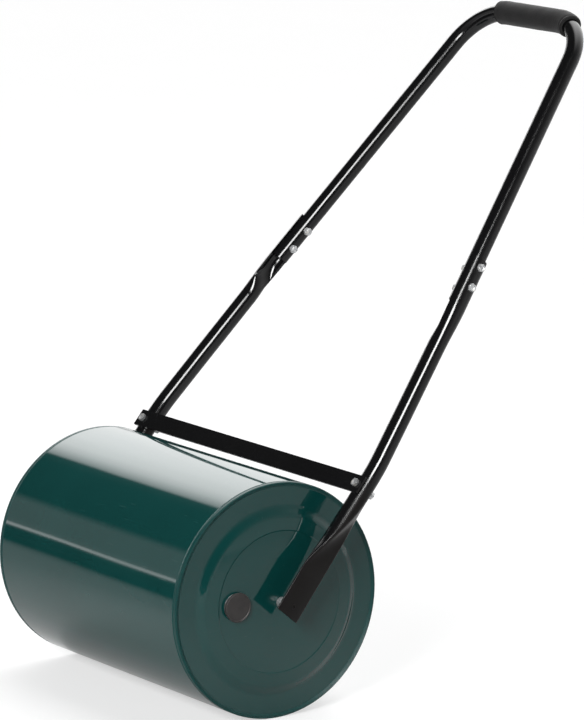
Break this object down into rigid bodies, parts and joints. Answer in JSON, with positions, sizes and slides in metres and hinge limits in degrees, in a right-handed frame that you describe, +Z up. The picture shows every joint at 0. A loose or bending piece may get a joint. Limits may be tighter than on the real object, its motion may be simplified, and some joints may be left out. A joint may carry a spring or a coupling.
{
  "type": "lawn roller",
  "caption": "Push-along water-fillable lawn roller: a smooth steel drum with pressed end discs, carried on stub axle pins by a bolted tube handle with a crossbar and foam grip.",
  "frame": {"origin": "on the ground, straight below the middle of the drum axle, which is 0.16 m above it", "axes": "+X along the drum axle towards the end with the filler plug, +Y the way the handle leans, +Z up"},
  "size_m": [0.5494, 0.7648, 0.8924],
  "materials": {
    "green_paint": "gloss",
    "black_paint": "gloss",
    "zinc": "zinc plated",
    "inner_steel": "bare",
    "plug_plastic": "satin",
    "seal_rubber": "matt",
    "foam": "matt closed-cell foam"
  },
  "bodies": {
    "handle": {"lower_arm_left": "black_paint", "lower_arm_right": "black_paint", "axle_pin_left": "zinc", "axle_pin_right": "zinc", "spacer_sleeves": "zinc", "upper_handle": "black_paint", "foam_grip": "foam", "crossbar": "black_paint", "crossbar_bolts": "zinc", "crossbar_nuts": "zinc", "joint_bolts": "zinc", "joint_nuts": "zinc"},
    "drum": {"drum_shell": "green_paint", "end_disc_left": "green_paint", "end_disc_right": "green_paint", "hub_tube": "inner_steel", "hub_bush_left": "zinc", "hub_bush_right": "zinc", "filler_neck": "inner_steel"},
    "plug": {"filler_plug": "plug_plastic", "plug_seal": "seal_rubber"}
  },
  "joints": [
    {"name": "drum_spin", "type": "hinge", "parent": "handle", "child": "drum", "pos_m": [0, 0, 0.16], "axis": [1, 0, 0], "continuous": true},
    {"name": "plug_pull", "type": "slide", "parent": "drum", "child": "plug", "axis": [1, 0, 0], "range_m": [0, 0.022]}
  ]
}
